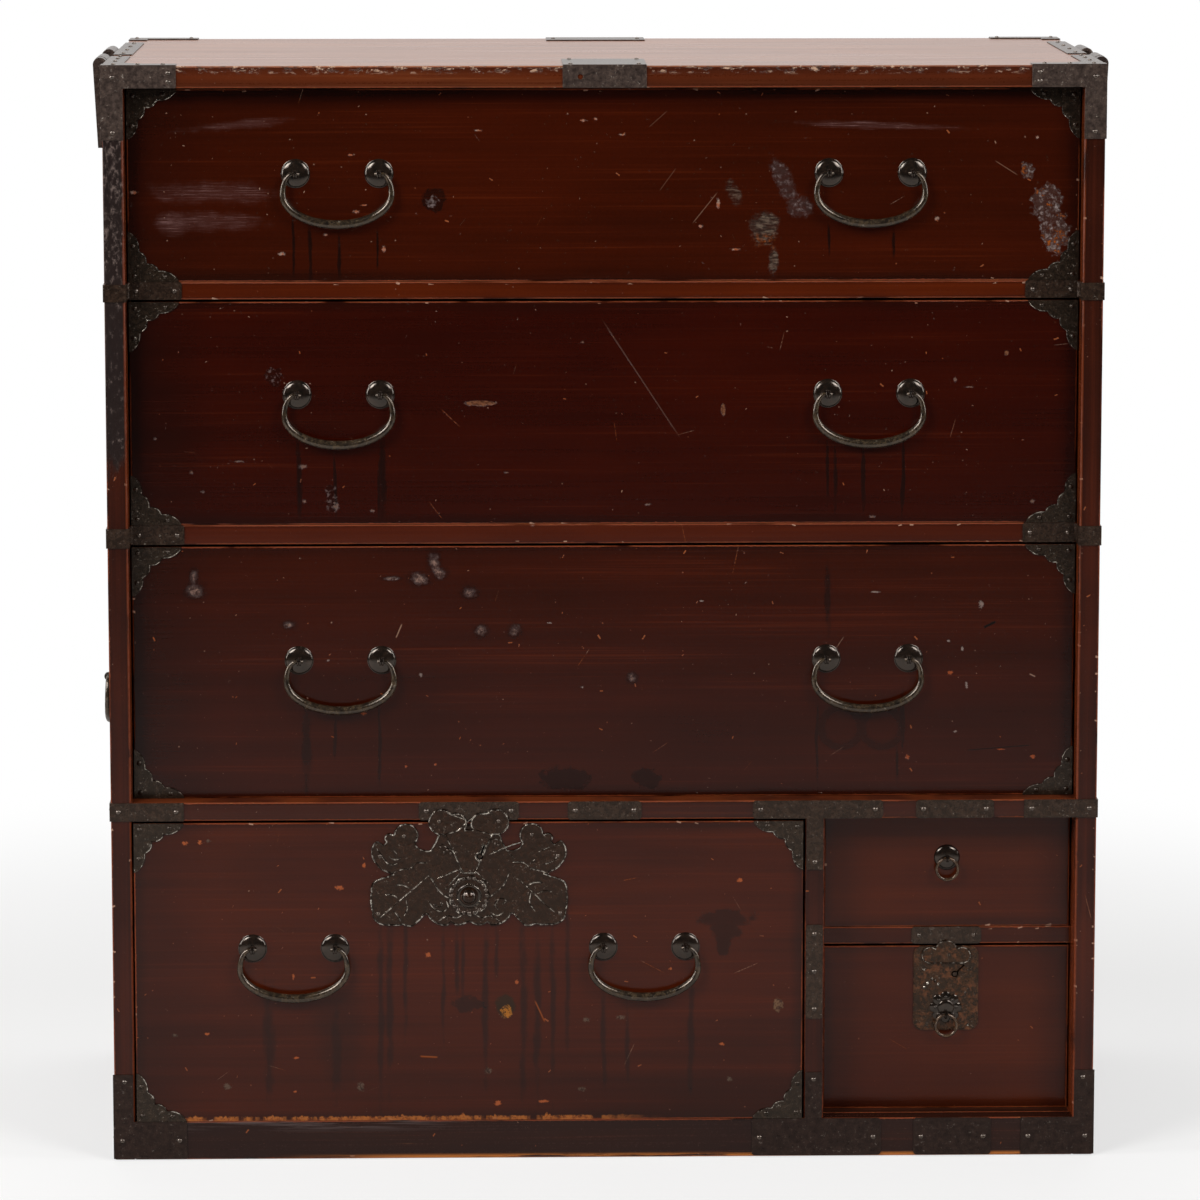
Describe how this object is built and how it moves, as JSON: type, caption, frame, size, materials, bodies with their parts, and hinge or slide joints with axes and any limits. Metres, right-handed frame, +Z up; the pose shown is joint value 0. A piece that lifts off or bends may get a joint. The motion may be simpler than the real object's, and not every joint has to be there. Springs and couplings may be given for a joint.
{
  "type": "clothing chest",
  "caption": "Iron-bound lacquered clothing chest of drawers with bail handles, locks and folding carrying loops.",
  "frame": {"origin": "on the floor under the middle of the chest's bounding box", "axes": "+Z up, -Y out of the front where the drawers open, +X to the right seen from the front"},
  "size_m": [0.9424, 0.4434, 1.0165],
  "materials": {
    "lacquered_wood": "worn dark red-brown lacquer",
    "plain_wood": "bare, darkened with age",
    "iron": "blackened, worn",
    "rusty_iron": "rusty"
  },
  "bodies": {
    "case": {"top_board": "lacquered_wood", "left_side": "lacquered_wood", "right_side": "lacquered_wood", "base_rail": "lacquered_wood", "floor_board": "plain_wood", "back_boards": "plain_wood", "upper_rail": "lacquered_wood", "middle_rail": "lacquered_wood", "lower_rail": "lacquered_wood", "divider_board": "lacquered_wood", "small_rail": "lacquered_wood", "drawer_runners": "plain_wood", "top_irons": "iron", "rail_irons": "iron", "base_irons": "iron", "case_nails": "iron", "loop_mounts": "iron", "side_bail_posts": "iron"},
    "left_carry_loop": {"left_carry_loop": "iron"},
    "left_side_bail": {"left_side_bail": "iron"},
    "right_carry_loop": {"right_carry_loop": "iron"},
    "right_side_bail": {"right_side_bail": "iron"},
    "drawer_1": {"drawer_1_front": "lacquered_wood", "drawer_1_box": "plain_wood", "drawer_1_corner_irons": "iron", "drawer_1_bail_posts": "iron"},
    "drawer_1_left_bail": {"drawer_1_left_bail": "iron"},
    "drawer_1_right_bail": {"drawer_1_right_bail": "iron"},
    "drawer_2": {"drawer_2_front": "lacquered_wood", "drawer_2_box": "plain_wood", "drawer_2_corner_irons": "iron", "drawer_2_bail_posts": "iron"},
    "drawer_2_left_bail": {"drawer_2_left_bail": "iron"},
    "drawer_2_right_bail": {"drawer_2_right_bail": "iron"},
    "drawer_3": {"drawer_3_front": "lacquered_wood", "drawer_3_box": "plain_wood", "drawer_3_corner_irons": "iron", "drawer_3_bail_posts": "iron"},
    "drawer_3_left_bail": {"drawer_3_left_bail": "iron"},
    "drawer_3_right_bail": {"drawer_3_right_bail": "iron"},
    "drawer_4": {"drawer_4_front": "lacquered_wood", "drawer_4_box": "plain_wood", "drawer_4_corner_irons": "iron", "drawer_4_bail_posts": "iron", "drawer_4_lock_plate": "iron", "drawer_4_lock_case": "iron"},
    "drawer_4_left_bail": {"drawer_4_left_bail": "iron"},
    "drawer_4_right_bail": {"drawer_4_right_bail": "iron"},
    "drawer_4_lock_bolt": {"drawer_4_lock_bolt": "iron"},
    "drawer_5": {"drawer_5_front": "lacquered_wood", "drawer_5_box": "plain_wood", "drawer_5_ring_post": "iron"},
    "drawer_5_ring": {"drawer_5_ring": "iron"},
    "drawer_6": {"drawer_6_front": "lacquered_wood", "drawer_6_box": "plain_wood", "drawer_6_ring_post": "iron", "drawer_6_lock_plate": "rusty_iron", "drawer_6_lock_case": "iron"},
    "drawer_6_ring": {"drawer_6_ring": "iron"},
    "drawer_6_lock_bolt": {"drawer_6_lock_bolt": "iron"}
  },
  "joints": [
    {"name": "left_carry_loop_turn", "type": "hinge", "parent": "case", "child": "left_carry_loop", "pos_m": [-0.464, 0.0055, 1.008], "axis": [0, 1, 0], "range_deg": [0, 180]},
    {"name": "left_side_bail_turn", "type": "hinge", "parent": "case", "child": "left_side_bail", "pos_m": [-0.467, 0.0055, 0.425], "axis": [0, 1, 0], "range_deg": [0, 175]},
    {"name": "right_carry_loop_turn", "type": "hinge", "parent": "case", "child": "right_carry_loop", "pos_m": [0.464, 0.0055, 1.008], "axis": [0, -1, 0], "range_deg": [0, 180]},
    {"name": "right_side_bail_turn", "type": "hinge", "parent": "case", "child": "right_side_bail", "pos_m": [0.467, 0.0055, 0.425], "axis": [0, -1, 0], "range_deg": [0, 175]},
    {"name": "drawer_1_slide", "type": "slide", "parent": "case", "child": "drawer_1", "axis": [0, -1, 0], "range_m": [0, 0.3]},
    {"name": "drawer_1_left_bail_turn", "type": "hinge", "parent": "drawer_1", "child": "drawer_1_left_bail", "pos_m": [-0.243, -0.1955, 0.915], "axis": [-1, 0, 0], "range_deg": [0, 170]},
    {"name": "drawer_1_right_bail_turn", "type": "hinge", "parent": "drawer_1", "child": "drawer_1_right_bail", "pos_m": [0.243, -0.1955, 0.915], "axis": [-1, 0, 0], "range_deg": [0, 170]},
    {"name": "drawer_2_slide", "type": "slide", "parent": "case", "child": "drawer_2", "axis": [0, -1, 0], "range_m": [0, 0.3]},
    {"name": "drawer_2_left_bail_turn", "type": "hinge", "parent": "drawer_2", "child": "drawer_2_left_bail", "pos_m": [-0.243, -0.1955, 0.7125], "axis": [-1, 0, 0], "range_deg": [0, 170]},
    {"name": "drawer_2_right_bail_turn", "type": "hinge", "parent": "drawer_2", "child": "drawer_2_right_bail", "pos_m": [0.243, -0.1955, 0.7125], "axis": [-1, 0, 0], "range_deg": [0, 170]},
    {"name": "drawer_3_slide", "type": "slide", "parent": "case", "child": "drawer_3", "axis": [0, -1, 0], "range_m": [0, 0.3]},
    {"name": "drawer_3_left_bail_turn", "type": "hinge", "parent": "drawer_3", "child": "drawer_3_left_bail", "pos_m": [-0.243, -0.1955, 0.466], "axis": [-1, 0, 0], "range_deg": [0, 170]},
    {"name": "drawer_3_right_bail_turn", "type": "hinge", "parent": "drawer_3", "child": "drawer_3_right_bail", "pos_m": [0.243, -0.1955, 0.466], "axis": [-1, 0, 0], "range_deg": [0, 170]},
    {"name": "drawer_4_slide", "type": "slide", "parent": "case", "child": "drawer_4", "axis": [0, -1, 0], "range_m": [0, 0.32]},
    {"name": "drawer_4_left_bail_turn", "type": "hinge", "parent": "drawer_4", "child": "drawer_4_left_bail", "pos_m": [-0.28725, -0.2175, 0.2], "axis": [-1, 0, 0], "range_deg": [0, 170]},
    {"name": "drawer_4_right_bail_turn", "type": "hinge", "parent": "drawer_4", "child": "drawer_4_right_bail", "pos_m": [0.03675, -0.2175, 0.2], "axis": [-1, 0, 0], "range_deg": [0, 170]},
    {"name": "drawer_4_lock_bolt_slide", "type": "slide", "parent": "drawer_4", "child": "drawer_4_lock_bolt", "axis": [0, 0, 1], "range_m": [0, 0.0075]},
    {"name": "drawer_5_slide", "type": "slide", "parent": "case", "child": "drawer_5", "axis": [0, -1, 0], "range_m": [0, 0.28]},
    {"name": "drawer_5_ring_turn", "type": "hinge", "parent": "drawer_5", "child": "drawer_5_ring", "pos_m": [0.3195, -0.1805, 0.2755], "axis": [-1, 0, 0], "range_deg": [0, 160]},
    {"name": "drawer_6_slide", "type": "slide", "parent": "case", "child": "drawer_6", "axis": [0, -1, 0], "range_m": [0, 0.28]},
    {"name": "drawer_6_ring_turn", "type": "hinge", "parent": "drawer_6", "child": "drawer_6_ring", "pos_m": [0.3195, -0.182, 0.127], "axis": [-1, 0, 0], "range_deg": [0, 160]},
    {"name": "drawer_6_lock_bolt_slide", "type": "slide", "parent": "drawer_6", "child": "drawer_6_lock_bolt", "axis": [0, 0, 1], "range_m": [0, 0.0075]}
  ]
}
